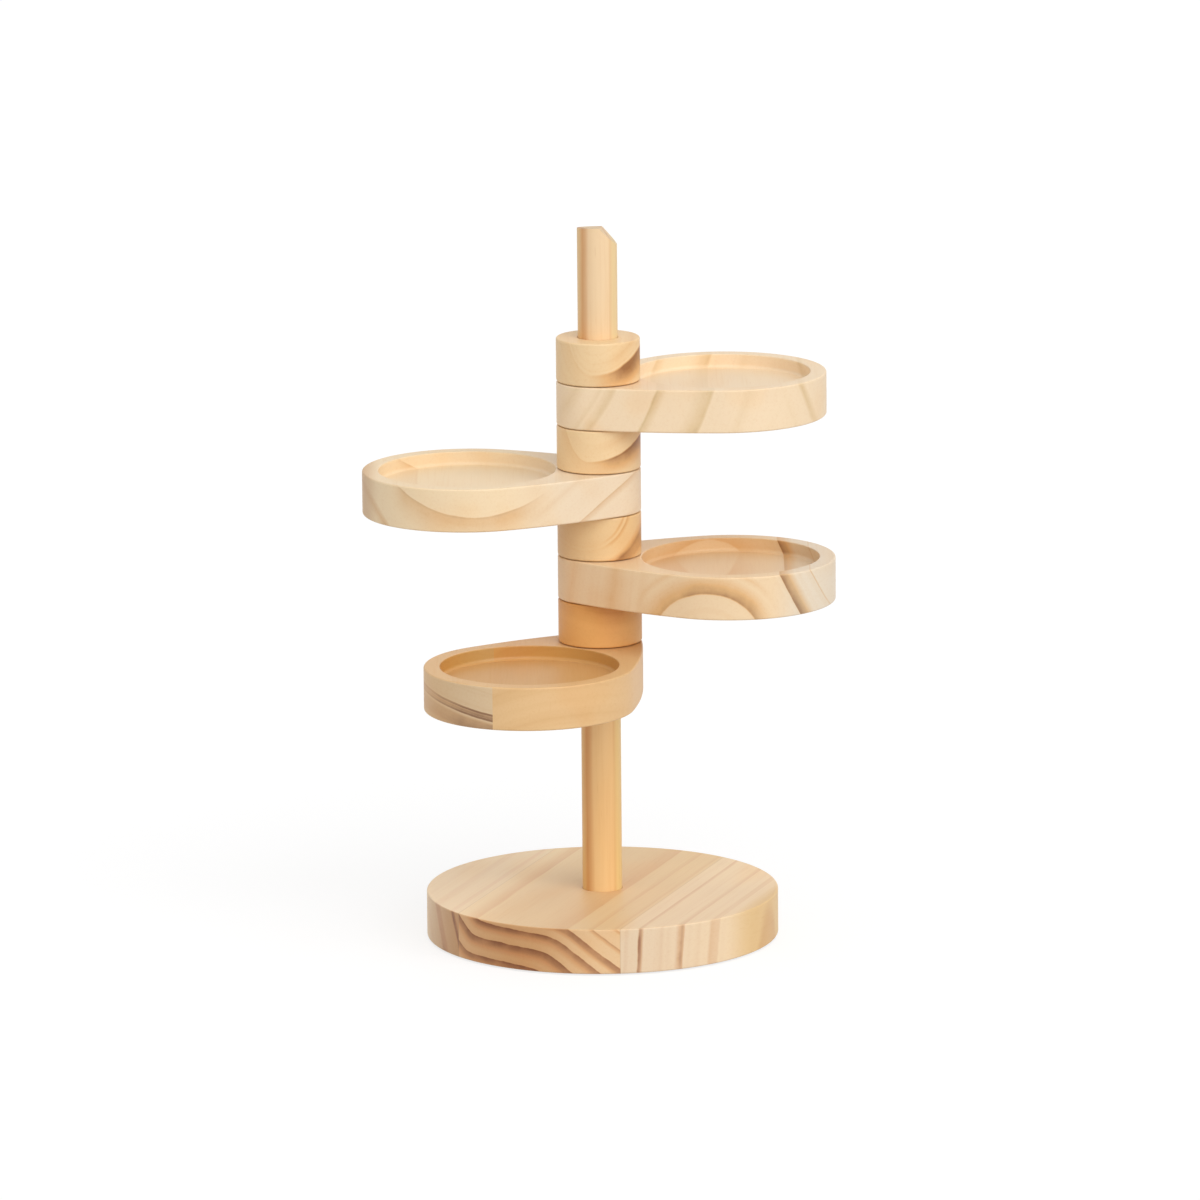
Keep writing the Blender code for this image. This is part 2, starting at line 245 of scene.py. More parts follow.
def carve(item, *cutters):
    """Cut the cutters out of the item for good, and remove them."""
    for cutter in cutters:
        modifier = item.modifiers.new(cutter.name, "BOOLEAN")
        modifier.operation = "DIFFERENCE"
        modifier.solver = "EXACT"
        modifier.object = cutter
    bpy.context.view_layer.update()
    carved = bpy.data.meshes.new_from_object(item.evaluated_get(bpy.context.evaluated_depsgraph_get()))
    item.modifiers.clear()
    item.data = carved
    carved.shade_smooth()
    carved.set_sharp_from_angle(angle=SMOOTH_ANGLE)
    for cutter in cutters:
        bpy.data.objects.remove(cutter, do_unlink=True)


def settle(item, body, slot, node):
    """Flat faces shade flat, and the piece stands for its node and rides on its body."""
    weights = item.modifiers.new("flat_faces", "WEIGHTED_NORMAL")
    weights.keep_sharp = True
    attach(item, body)
    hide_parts(node)


# Shader fields

class Field:
    """A number, vector or colour that varies over a surface. Arithmetic on it adds Math nodes."""

    def __init__(self, tree, socket):
        self.tree = tree
        self.socket = socket

    def math(self, operation, *others):
        node = add_node(self.tree, "ShaderNodeMath", enumerate((self, *others)), operation=operation)
        return Field(self.tree, node.outputs[0])

    def __add__(self, other):
        return self.math("ADD", other)

    def __sub__(self, other):
        return self.math("SUBTRACT", other)

    def __mul__(self, other):
        return self.math("MULTIPLY", other)

    def __truediv__(self, other):
        return self.math("DIVIDE", other)

    def at_least(self, low):
        return self.math("MAXIMUM", low)

    def root(self):
        return self.math("SQRT")

    def size(self):
        return self.math("ABSOLUTE")


def feed(tree, slot, value):
    if isinstance(value, Field):
        tree.links.new(value.socket, slot)
    else:
        slot.default_value = value


def add_node(tree, kind, inputs=(), **settings):
    node = tree.nodes.new(kind)
    for key, value in settings.items():
        setattr(node, key, value)
    for key, value in dict(inputs).items():
        feed(tree, node.inputs[key], value)
    return node


def smooth_step(field, low, high):
    """0 below low, 1 above high and a smooth rise between them."""
    inputs = {"Value": field, "From Min": low, "From Max": high}
    node = add_node(field.tree, "ShaderNodeMapRange", inputs, interpolation_type="SMOOTHSTEP")
    return Field(field.tree, node.outputs[0])


def mix_colors(factor, first, second, blend="MIX"):
    """Colours A and B are sockets 6 and 7 of a Mix node, and its colour output is the third."""
    inputs = {0: factor, 6: opaque(first), 7: opaque(second)}
    tree = next(value.tree for value in (factor, first, second) if isinstance(value, Field))
    node = add_node(tree, "ShaderNodeMix", inputs, data_type="RGBA", blend_type=blend)
    return Field(tree, node.outputs[2])


def opaque(color):
    return color if isinstance(color, Field) else (*color, 1.0)


def combine(x, y, z):
    node = add_node(x.tree, "ShaderNodeCombineXYZ", enumerate((x, y, z)))
    return Field(x.tree, node.outputs[0])


def noise(vector, detail=2.0, roughness=0.5):
    """Noise about 0, from about -0.5 to 0.5."""
    inputs = {"Vector": vector, "Scale": 1.0, "Detail": detail, "Roughness": roughness}
    node = add_node(vector.tree, "ShaderNodeTexNoise", inputs)
    return Field(vector.tree, node.outputs[0]) - 0.5


def dot(tree, socket, direction):
    node = add_node(tree, "ShaderNodeVectorMath", {1: direction}, operation="DOT_PRODUCT")
    tree.links.new(socket, node.inputs[0])
    return Field(tree, node.outputs["Value"])


def ramp(field, stops):
    """Colour ramp through (position, colour) stops in the field's own unit."""
    low, high = stops[0][0], stops[-1][0]
    node = add_node(field.tree, "ShaderNodeValToRGB", {0: (field - low) / (high - low)})
    elements = node.color_ramp.elements
    elements[0].position = 0.0
    elements[-1].position = 1.0
    for position, _ in stops[1:-1]:
        elements.new((position - low) / (high - low))
    for element, (_, color) in zip(elements, stops):
        element.color = (*color, 1.0)
    return Field(field.tree, node.outputs[0])


def new_material(name):
    material = bpy.data.materials.new(name)
    material.use_nodes = True
    tree = material.node_tree
    return material, tree, tree.nodes["Principled BSDF"]


def bump(tree, shader, height, distance):
    node = add_node(tree, "ShaderNodeBump", {"Height": height, "Strength": 1.0, "Distance": distance})
    tree.links.new(node.outputs["Normal"], shader.inputs["Normal"])


# Pine

def level_grain(angle):
    """Axes along the grain, across it and up, for a board that lies flat."""
    along = Vector((math.cos(angle), math.sin(angle), 0))
    across = Vector((math.sin(angle), -math.cos(angle), 0))
    return along, across, Vector((0, 0, 1))


def upright_grain():
    return Vector((0, 0, 1)), Vector((1, 0, 0)), Vector((0, 1, 0))


def about_pith(across, up, left_squeeze=0.0):
    """Rings that are circles about the pith of the tree, or narrower at the left of it."""
    def distance(place_across, place_up):
        side = place_across - across
        if left_squeeze:
            side = side + (side * -1.0).at_least(0.0) * -left_squeeze
        rise = place_up - up
        return (side * side + rise * rise).root()
    return distance


def standing(lean):
    """Rings so far from the pith that they stand up straight in the board, or lean."""
    def distance(across, up):
        return across + up * lean
    return distance


def lying(slope, start):
    """Rings so far from the pith that they lie in the board, from a start height."""
    def distance(across, up):
        return up + across * slope - start
    return distance


def upper_of(one, other, softness):
    """The larger of two fields, with a rounded change from one to the other."""
    gap = one - other
    return (one + other + (gap * gap + softness**2).root()) * 0.5


def flame(across, up):
    """Rings of the base's middle stave, counted downwards: they rise to its left and fall to its right."""
    level, falling, rising = [
        up * up_rate + across * across_rate + start
        for up_rate, across_rate, start in (FLAME_LEVEL, FLAME_FALLING, FLAME_RISING)
    ]
    fold = upper_of(level, falling, FLAME_FOLD)
    return upper_of(fold * -1.0, rising * -1.0, FLAME_TURN)


def grain_noise(place, rates, *detail_and_roughness):
    """Noise about 0 that changes by its two rates along the grain and across it."""
    along, across, up, seed = place
    along_rate, across_rate = rates
    vector = combine(along * along_rate + seed, across * across_rate, up * across_rate - seed)
    return noise(vector, *detail_and_roughness)


def ring_profile(distance, rings):
    """Late wood from 0 to 1 for rings of (place, inner fade, core, outer fade, strength)."""
    stops = []
    for place, inner, core, outer, strength in rings:
        grey = (strength,) * 3
        dimmer = (strength * CORE_END,) * 3
        end = place + core
        stops += [(place - inner, BLACK), (place, grey), (end, dimmer), (end + outer, BLACK)]
    return ramp(distance, stops)


def cut_across(tree, along_axis):
    """1 where the surface cuts straight across the fibres, 0 where it runs along them."""
    normal = add_node(tree, "ShaderNodeTexCoord").outputs["Normal"]
    return smooth_step(dot(tree, normal, along_axis).size(), *END_GRAIN_TURN)


def stave_wood(place, cut, stave, wander, drift):
    """Late wood and colour of one stave. Its rings are faint where a swell starts, full where it ends."""
    along, across, up, seed = place
    height = up + along * stave.get("dip", 0.0)
    waves = wander * stave.get("wander", USUAL_WANDER) + drift * stave.get("drift", USUAL_DRIFT)
    distance = stave["field"](across, height) + waves
    late = ring_profile(distance, stave["rings"]) * (drift * RING_UNEVENNESS + 1.0)
    for way, faint, start, end in stave.get("swells", []):
        late = late * (smooth_step(place[way], start, end) * (1.0 - faint) + faint)
    along_rate, ring_rate = FINE_RINGS
    fine = noise(combine(along * along_rate + seed, distance * ring_rate, 0.0))
    late = late + fine.at_least(0.0) * stave["fine"]
    long_late = stave.get("long", LONG_GRAIN_LATE)
    late = late * (cut * (1.0 - long_late) + long_late)
    color = ramp(late, [(0.0, stave["ground"]), (WARM_AT, stave["warm"]), (1.0, stave["dark"])])
    return late, mix_colors(cut, color, stave["end"], "MULTIPLY")


def joined_staves(place, cut, board, wander, drift):
    """The staves of a board from left to right, with a thin line of glue where one is given."""
    across = place[1]
    first, *others = board["staves"]
    late, color = stave_wood(place, cut, first, wander, drift)
    for stave in others:
        edge = stave["from"]
        blend = stave.get("blend", GLUE_BLEND)
        beyond = smooth_step(across, edge - blend, edge + blend)
        next_late, next_color = stave_wood(place, cut, stave, wander, drift)
        late = late + (next_late - late) * beyond
        color = mix_colors(beyond, color, next_color)
        if "blend" not in stave:
            seam = smooth_step((across - edge).size(), 0.0, GLUE_WIDTH) * -GLUE_STRENGTH + GLUE_STRENGTH
            color = mix_colors(seam, color, GLUE_COLOR)
    return late, color


def painted_shade_in_hollow(place, board):
    """Mask of the painted shade: 1 in a dish's hollow, from its floor up, and 0 in the rest of the board.
    """
    along, across, up, _ = place
    middle, radius, floor = board["hollow"]
    along_axis, across_axis, _ = board["axes"]
    from_middle = about_pith(middle.dot(across_axis) * MM, middle.dot(along_axis) * MM)(across, along)
    inside = smooth_step(from_middle, radius * MM + HOLLOW_SHADE_EDGE, radius * MM)
    return inside * smooth_step(up, floor * MM - HOLLOW_SHADE_FADE, floor * MM + HOLLOW_SHADE_FADE)


def pine_material(name, board):
    """Solid pine. All lengths in it are millimetres in the piece's own frame."""
    material, tree, shader = new_material(name)
    position = add_node(tree, "ShaderNodeTexCoord").outputs["Object"]
    along, across, up = (dot(tree, position, axis * MM) for axis in board["axes"])
    place = (along, across, up, board["seed"])
    wander = grain_noise(place, *WANDER)
    drift = grain_noise(place, *DRIFT)
    fibre = grain_noise(place, *FIBRE)
    cut = cut_across(tree, board["axes"][0])
    late, color = joined_staves(place, cut, board, wander, drift)
    for rates, detail, low, high, strength, tint in WOOD_TINTS:
        spots = smooth_step(grain_noise(place, rates, detail), low, high) * strength
        color = mix_colors(spots, color, tint, "MULTIPLY")
    for way, low, high, tint in board.get("shades", []):
        color = mix_colors(smooth_step(place[way], low, high), color, tint, "MULTIPLY")
    # Painted shade darkens and warms the walls of a dish's hollow, and its floor by half.
    if "routed" in board:
        color = mix_colors(painted_shade_in_hollow(place, board), color, board["routed"], "MULTIPLY")
    tree.links.new(color.socket, shader.inputs["Base Color"])
    roughness = fibre * FIBRE_ROUGHNESS + late * LATE_ROUGHNESS + WOOD_ROUGHNESS
    feed(tree, shader.inputs["Roughness"], roughness)
    bump(tree, shader, fibre * FIBRE_RELIEF + late * LATE_RELIEF, WOOD_RELIEF)
    return material


# Boards. A ring is (place, inner fade, core, outer fade, strength), and a shade (way, start, end, tint).

def base_board():
    """Three staves. The end of the middle one turns paler towards its right."""
    left = {
        "field": standing(lean=0.3), "wander": 1.2, "fine": 0.4, "long": 0.2, "end": (0.56, 0.375, 0.235),
        "rings": [(-56.5, 3.0, 0.4, 1.0, 0.3), (-49.3, 1.2, 2.3, 1.1, 0.8), (-38.7, 1.0, 1.0, 0.8, 1.1)],
        "ground": (0.81, 0.59, 0.35), "warm": (0.72, 0.45, 0.25), "dark": (0.36, 0.18, 0.09),
    }
    middle = {
        "from": -40.0,
        "field": flame, "wander": 1.4, "drift": 1.3, "fine": 0.2, "end": (0.75, 0.57, 0.44),
        "rings": [(-42.6, 0.3, 0.6, 1.0, 0.5), (-35.4, 0.3, 0.6, 1.6, 0.75), (-27.7, 0.3, 2.4, 2.2, 1.0),
                  (-19.8, 0.3, 1.8, 4.0, 1.0), (-10.7, 0.3, 2.6, 4.5, 1.0), (-0.3, 0.3, 2.2, 4.0, 1.0)],
        "ground": (0.81, 0.58, 0.32), "warm": (0.72, 0.43, 0.20), "dark": (0.29, 0.125, 0.038),
    }
    paler = dict(middle, blend=15.0, end=(0.98, 0.93, 0.93), dark=(0.40, 0.20, 0.09))
    paler["from"] = 10.0
    right = {
        "from": 29.65,
        "field": standing(lean=-0.05), "wander": 1.0, "fine": 0.3, "long": 0.38, "end": (0.88, 0.89, 0.95),
        "rings": [(31.2, 1.0, 0.2, 0.8, 0.12), (35.5, 0.5, 0.7, 0.9, 1.0), (43.0, 2.5, 0.3, 1.0, 0.12),
                  (49.3, 2.0, 0.6, 0.3, 0.75), (54.5, 1.5, 0.2, 0.6, 0.12), (57.9, 0.7, 2.1, 0.4, 0.5),
                  (69.5, 0.5, 0.5, 0.5, 0.9)],
        "ground": (0.87, 0.665, 0.43), "warm": (0.74, 0.47, 0.26), "dark": (0.38, 0.17, 0.08),
    }
    return {
        "axes": level_grain(BASE_GRAIN), "seed": 3.1, "staves": [left, middle, paler, right],
        # The wood's golden right end, then painted light that lifts the trays' shadow off the left and
        # back.
        "shades": [(ACROSS, 62.0, 69.0, (0.89, 0.79, 0.57)), (ACROSS, -12.0, -42.0, (1.18, 1.26, 1.39)),
                   (ALONG, 5.0, 45.0, (1.07, 1.07, 1.05))],
    }


def tray_1_board():
    tones = {"ground": (0.89, 0.695, 0.47), "warm": (0.77, 0.565, 0.325), "dark": (0.50, 0.34, 0.165),
             "fine": 0.25, "end": WHITE}
    left = dict(tones, field=about_pith(across=-100.0, up=66.0), rings=[
        (104.0, 3.0, 0.5, 2.5, 0.25), (112.0, 1.5, 0.3, 1.0, 0.22), (116.6, 3.5, 0.6, 0.8, 0.38),
        (133.0, 0.8, 1.0, 2.6, 0.55), (152.6, 7.0, 0.7, 0.5, 0.50), (167.0, 3.0, 0.5, 3.0, 0.15)])
    right = dict(tones, field=standing(lean=0.33), blend=6.0, rings=[
        (70.0, 2.0, 0.3, 1.0, 0.15), (78.0, 2.0, 0.3, 2.0, 0.12), (85.2, 1.2, 0.8, 1.4, 0.75)])
    right["from"] = 72.0
    return {"seed": 11.3, "staves": [left, right]}


def tray_2_board():
    tones = {"ground": (0.88, 0.685, 0.44), "warm": (0.77, 0.52, 0.28), "dark": (0.50, 0.32, 0.18),
             "fine": 0.2, "end": WHITE}
    left = dict(tones, field=standing(lean=0.7), wander=1.0, rings=[(-83.6, 3.0, 0.8, 1.4, 0.75)])
    middle = dict(tones, field=about_pith(across=-48.0, up=54.6), blend=4.0, rings=[
        (49.0, 0.4, 0.7, 9.0, 0.63)])
    middle["from"] = -79.0
    right = dict(tones, field=standing(lean=-1.31), blend=8.0, rings=[
        (-30.0, 4.0, 0.5, 4.0, 0.15), (-8.0, 0.5, 0.5, 3.5, 0.60), (12.0, 3.0, 0.5, 3.0, 0.2)])
    right["from"] = -26.0
    shades = [(ACROSS, -40.0, -10.0, (0.96, 1.0, 1.12)), (ACROSS, -86.0, -93.0, (0.76, 0.64, 0.53))]
    return {"seed": 23.7, "staves": [left, middle, right], "shades": shades}


def tray_3_board():
    tones = {"ground": (0.86, 0.64, 0.40), "warm": (0.76, 0.455, 0.20), "dark": (0.38, 0.19, 0.08),
             "fine": 0.35, "end": WHITE}
    left = dict(tones, field=standing(lean=-0.12), rings=[
        (-12.0, 3.0, 0.5, 3.0, 0.25), (4.0, 4.0, 1.0, 5.0, 0.3), (17.0, 3.0, 2.0, 4.0, 0.35)])
    middle = dict(tones, field=about_pith(across=42.3, up=-7.2), blend=4.0, rings=[
        (21.8, 0.6, 1.6, 7.0, 0.85), (31.5, 2.0, 0.4, 1.5, 0.2)])
    middle.update({
        "from": 16.0, "dip": -0.0886,
        "swells": [(ACROSS, 0.7, 18.0, 44.0), (ALONG, 0.4, 20.0, -12.0)],
    })
    right = dict(tones, field=standing(lean=0.49), blend=6.0, rings=[
        (78.9, 0.35, 1.4, 4.5, 1.1), (90.9, 0.3, 0.15, 0.3, 0.6)])
    right.update({"from": 64.0, "long": 0.5})
    shades = [(ACROSS, 66.0, 80.0, (0.94, 1.07, 1.32))]
    # The last tint is painted shade in the hollow.
    return {"seed": 5.9, "staves": [left, middle, right], "shades": shades, "routed": (0.89, 0.81, 0.69)}


def tray_4_board():
    left = {
        "field": lying(slope=0.22, start=-3.0), "fine": 0.5, "end": (0.92, 1.04, 1.30),
        "rings": [(-8.5, 3.0, 4.0, 1.0, 0.75), (-3.0, 0.3, 0.75, 0.05, 1.25),
                  (-2.15, 0.05, 1.05, 0.05, 0.9), (-1.0, 0.05, 0.7, 0.25, 1.25)],
        "ground": (0.765, 0.495, 0.24), "warm": (0.62, 0.34, 0.14), "dark": (0.30, 0.14, 0.055),
    }
    right = {
        "from": -42.1, "blend": GLUE_BLEND,
        "field": about_pith(across=-10.0, up=-60.0), "fine": 0.35, "end": WHITE,
        "rings": [(66.0, 4.0, 0.3, 3.0, 0.2), (80.0, 5.0, 0.3, 3.0, 0.2), (95.0, 5.0, 0.3, 3.0, 0.2)],
        "ground": (0.765, 0.495, 0.24), "warm": (0.67, 0.39, 0.16), "dark": (0.40, 0.21, 0.09),
    }
    # The last tint is painted shade in the hollow.
    return {"seed": 37.1, "staves": [left, right], "routed": (0.75, 0.60, 0.31)}


def tray_boards():
    """Each tray's grain runs along Y of the shelf while the tray is at rest."""
    boards = [tray_1_board(), tray_2_board(), tray_3_board(), tray_4_board()]
    for board in boards:
        board["axes"] = level_grain(QUARTER_TURN)
    return {f"tray_{number}": board for number, board in enumerate(boards, start=1)}


def collar_boards():
    """Boards of the collars, from the top one down."""
    tones = {"ground": (0.865, 0.625, 0.35), "warm": (0.74, 0.43, 0.18), "dark": (0.34, 0.15, 0.05),
             "fine": 0.3, "long": 0.9, "end": WHITE, "wander": 1.0}
    staves = [
        dict(tones, field=about_pith(across=-2.0, up=27.7, left_squeeze=1.2), rings=[
            (19.0, 3.0, 0.5, 1.5, 0.2), (23.4, 0.8, 3.6, 4.5, 1.1)]),
        dict(tones, field=about_pith(across=-4.0, up=33.0, left_squeeze=1.6), rings=[
            (23.0, 3.0, 0.5, 2.0, 0.2), (28.3, 0.6, 0.8, 6.5, 1.3)]),
        dict(tones, field=about_pith(across=-6.0, up=22.0), rings=[
            (16.2, 0.7, 0.3, 0.4, 0.50), (17.9, 0.5, 0.4, 0.8, 0.60), (25.2, 2.5, 3.0, 2.0, 0.85)]),
        dict(tones, field=about_pith(across=6.0, up=60.0), rings=[(46.0, 6.0, 0.5, 6.0, 0.45)]),
    ]
    staves[0].update(swells=[(ACROSS, 0.08, -5.0, 14.0)])
    staves[1].update(swells=[(ACROSS, 0.16, -6.0, 13.0)])
    staves[2].update(swells=[(ACROSS, 0.12, 0.0, 8.0)], ground=(0.80, 0.55, 0.28))
    staves[3].update(ground=(0.80, 0.43, 0.14), warm=(0.66, 0.31, 0.08))
    boards = {}
    for number, stave in enumerate(staves, start=1):
        seed = COLLAR_SEED + COLLAR_SEED_STEP * number
        boards[f"collar_{number}"] = {"axes": level_grain(QUARTER_TURN), "seed": seed, "staves": [stave]}
    return boards


def post_board():
    stave = {
        "field": standing(lean=0.35), "wander": 0.8, "fine": 0.3, "end": (0.80, 0.78, 0.72),
        "rings": [(-7.7, 0.7, 0.8, 1.2, 1.0), (3.0, 1.0, 0.3, 1.0, 0.3)],
        "ground": (0.86, 0.625, 0.375), "warm": (0.65, 0.30, 0.10), "dark": (0.42, 0.24, 0.11),
    }
    # Painted light: warm shade and bounce under the trays at the foot, and shade on the left flank.
    foot = (ALONG, 170.0, 60.0, (0.98, 0.89, 0.68))
    left = (ACROSS, -4.5, -7.5, (1.0, 0.93, 0.72))
    right = (ACROSS, 4.0, 6.5, (0.96, 1.02, 0.93))
    return {"axes": upright_grain(), "seed": 71.7, "staves": [stave], "shades": [foot, left, right]}


def object_noise(tree, rates, detail, roughness):
    """Noise about 0 that changes by its rates along the piece's own x, y and z, per millimetre."""
    place = add_node(tree, "ShaderNodeTexCoord").outputs["Object"]
    vector = [dot(tree, place, axis * rate * MM) for axis, rate in zip(Matrix.Identity(3), rates)]
    return noise(combine(*vector), detail, roughness)


def felt_material():
    material, tree, shader = new_material("felt")
    hairs = object_noise(tree, *FELT_HAIRS)
    clumps = object_noise(tree, *FELT_CLUMPS)
    hairs_share, clumps_share = FELT_SHARES
    color = ramp(hairs * hairs_share + clumps * clumps_share, FELT_TONES)
    tree.links.new(color.socket, shader.inputs["Base Color"])
    shader.inputs["Roughness"].default_value = FELT_ROUGHNESS
    shader.inputs["Sheen Weight"].default_value = FELT_SHEEN
    bump(tree, shader, hairs, FELT_RELIEF)
    return material


def steel_material():
    material, tree, shader = new_material("steel")
    cloud = object_noise(tree, *STEEL_CLOUD)
    streak = object_noise(tree, *STEEL_STREAK)
    color = ramp(cloud + streak * STEEL_STREAK_SHARE, STEEL_TONES)
    tree.links.new(color.socket, shader.inputs["Base Color"])
    shader.inputs["Metallic"].default_value = 1.0
    level, change = STEEL_ROUGHNESS
    feed(tree, shader.inputs["Roughness"], cloud * change + level)
    bump(tree, shader, streak, STEEL_RELIEF)
    return material


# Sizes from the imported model

def box_of(name):
    low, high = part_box(name)
    return Vector(low), Vector(high)


def tray_layout():
    """Angle and reach of each tray, from the middle of its floor, and the level of that floor."""
    layout = {}
    for mount in frame["record"]["mounts"]:
        if not mount["name"].endswith("_floor"):
            continue
        x, y, z = mount["pos_m"]
        layout[mount["name"].removesuffix("_floor")] = (math.atan2(y, x), math.hypot(x, y), z)
    return layout


def post_radius():
    return box_of("post")[1].x


def hub_radius():
    return box_of("collar_1")[1].x


# Pieces

def make_base():
    low, high = box_of("base_disc")
    _, pad_high = box_of("base_pad")
    hollow = pad_high.x + FIT_GAP
    ceiling = pad_high.z + FIT_GAP
    socket = post_radius() + GLUE_GAP
    socket_floor = ceiling + SOCKET_WEB
    profile = eased_side(high.x - SKIN, low.z, high.z - SKIN, BASE_EASING)
    profile += [
        (socket, high.z - SKIN), (socket, socket_floor), (SHANK_ROOM, socket_floor),
        (SHANK_ROOM, ceiling + HEAD_ROOM_DEPTH), (HEAD_ROOM, ceiling + HEAD_ROOM_RIM),
        (HEAD_ROOM, ceiling), (hollow, ceiling), (hollow, low.z),
    ]
    profile = [(radius, level - low.z) for radius, level in profile]
    mesh = turned_mesh("base_disc_wood", profile, BASE_SEGMENTS, closed=True)
    base = add_object("base_disc_wood", mesh, pine_material("base_pine", base_board()), height=low.z)
    settle(base, "stand", "base_pine", "base_disc")


def make_pad():
    low, high = box_of("base_pad")
    profile = eased_side(high.x - SKIN, low.z, high.z, PAD_EASING)
    mesh = turned_mesh("base_pad_felt", profile, BASE_SEGMENTS)
    pad = add_object("base_pad_felt", mesh, felt_material())
    settle(pad, "stand", "felt", "base_pad")


def post_top_cutter(radius, top):
    """A block whose underside is the sawn top of the post, with the slanted cut at its right."""
    reach = radius + CUT_OVERRUN
    ceiling = top + 2 * CUT_OVERRUN
    bm = bmesh.new()
    sides = []
    for side in (-reach, reach):
        sawn = top - TOP_FALL * (side + radius) / (2 * radius)
        edge = radius - FACET_RUN + FACET_SKEW * side
        foot = sawn - FACET_SLOPE * (reach - edge)
        outline = [(-reach, sawn), (edge, sawn), (reach, foot), (reach, ceiling), (-reach, ceiling)]
        sides.append([bm.verts.new((x, side, z)) for x, z in outline])
    for outline in sides:
        bm.faces.new(outline)
    for k in range(len(sides[0])):
        bm.faces.new((sides[0][k - 1], sides[0][k], sides[1][k], sides[1][k - 1]))
    return add_object("post_top_cutter", mesh_from("post_top_cutter", bm))


def pin_hole_cutter(radius, reach, level):
    mesh = turned_mesh("pin_hole_cutter", [(radius, -reach), (radius, reach)], COLLAR_SEGMENTS)
    cutter = add_object("pin_hole_cutter", mesh, height=level)
    cutter.rotation_euler.x = QUARTER_TURN
    return cutter


def make_post():
    low, high = box_of("post")
    pin_low, pin_high = box_of("stop_pin")
    radius = high.x - SKIN
    pin_radius = pin_high.x
    profile = eased_side(radius, low.z, high.z + CUT_OVERRUN, POST_EASING)
    mesh = turned_mesh("post_wood", profile, POST_SEGMENTS)
    post = add_object("post_wood", mesh, pine_material("post_pine", post_board()))
    hole = pin_hole_cutter(pin_radius + FIT_GAP, radius + CUT_OVERRUN, pin_low.z + pin_radius)
    carve(post, post_top_cutter(radius, high.z - SKIN), hole)
    settle(post, "stand", "post_pine", "post")


def make_collars():
    boards = collar_boards()
    bore = post_radius() + GLUE_GAP
    for name, board in boards.items():
        low, high = box_of(name)
        height = high.z - low.z
        profile = eased_side(high.x - SKIN, 0.0, height, STACK_EASING)
        profile += eased_bore(bore, 0.0, height, BORE_EASING)
        mesh = turned_mesh(f"{name}_wood", profile, COLLAR_SEGMENTS, closed=True)
        collar = add_object(f"{name}_wood", mesh, pine_material(f"{name}_pine", board), height=low.z)
        settle(collar, "stand", "collar_pine", name)


def arc_points(x, y, radius, start, end, steps):
    """Points of an arc about (x, y), without its last one, where the next arc starts."""
    angles = [start + (end - start) * k / steps for k in range(steps)]
    return [Vector((x + radius * math.cos(a), y + radius * math.sin(a), 0)) for a in angles]


def teardrop_outline(hub, dish, reach):
    """The arcs of the dish and the hub, and on each flank a wide arc that touches both."""
    hub_arm = FLANK_RADIUS - hub
    dish_arm = FLANK_RADIUS - dish
    along = (hub_arm**2 - dish_arm**2 + reach**2) / (2 * reach)
    aside = math.sqrt(hub_arm**2 - along**2)
    dish_end = math.atan2(aside, reach - along)
    hub_end = math.atan2(aside, -along)
    outline = arc_points(reach, 0.0, dish, -dish_end, dish_end, DISH_ARC_STEPS)
    outline += arc_points(along, -aside, FLANK_RADIUS, dish_end, hub_end, FLANK_ARC_STEPS)
    outline += arc_points(0.0, 0.0, hub, hub_end, FULL_TURN - hub_end, HUB_ARC_STEPS)
    outline += arc_points(along, aside, FLANK_RADIUS, -hub_end, -dish_end, FLANK_ARC_STEPS)
    return outline


def tray_blank_mesh(name, outline, thickness):
    """A teardrop board with eased edges, before its recess and bore are cut."""
    bm = bmesh.new()
    face = bm.faces.new([bm.verts.new(point) for point in outline])
    grown = bmesh.ops.extrude_face_region(bm, geom=[face])
    top = [element for element in grown["geom"] if isinstance(element, bmesh.types.BMVert)]
    bmesh.ops.translate(bm, verts=top, vec=Vector((0, 0, thickness)))
    rims = [edge for edge in bm.edges if edge.verts[0].co.z == edge.verts[1].co.z]
    bmesh.ops.bevel(
        bm, geom=rims, offset=STACK_EASING, segments=EASING_STEPS, profile=ROUND_PROFILE, affect="EDGES")
    return mesh_from(name, bm)


def recess_cutter(radius, floor, top):
    """The dish's hollow: flat floor, rounded foot, straight wall and an eased mouth."""
    foot = corner(radius - RECESS_COVE, floor + RECESS_COVE, RECESS_COVE, -QUARTER_TURN)
    mouth = corner(radius + RECESS_EASING, top - RECESS_EASING, RECESS_EASING, math.pi, outward=-1)
    over = (radius + RECESS_EASING, top + CUT_OVERRUN)
    return turned_mesh("recess_cutter", foot + mouth + [over], RECESS_SEGMENTS)


def pin_pocket_cutter(tray_bottom):
    _, high = box_of("stop_pin")
    pocket = high.y + POCKET_CLEARANCE
    depth = high.z + FIT_GAP - tray_bottom
    mesh = turned_mesh("pin_pocket_cutter", [(pocket, -CUT_OVERRUN), (pocket, depth)], POST_SEGMENTS)
    return add_object("pin_pocket_cutter", mesh)


def frame_slot(node):
    return next(part["material_slot"] for part in frame["record"]["subparts"] if part["node"] == node)


def farthest_reach(node):
    """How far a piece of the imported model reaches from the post's axis."""
    points = [vertex.co for vertex in frame["nodes"][node].data.vertices]
    return max(math.hypot(point.x, point.y) for point in points)


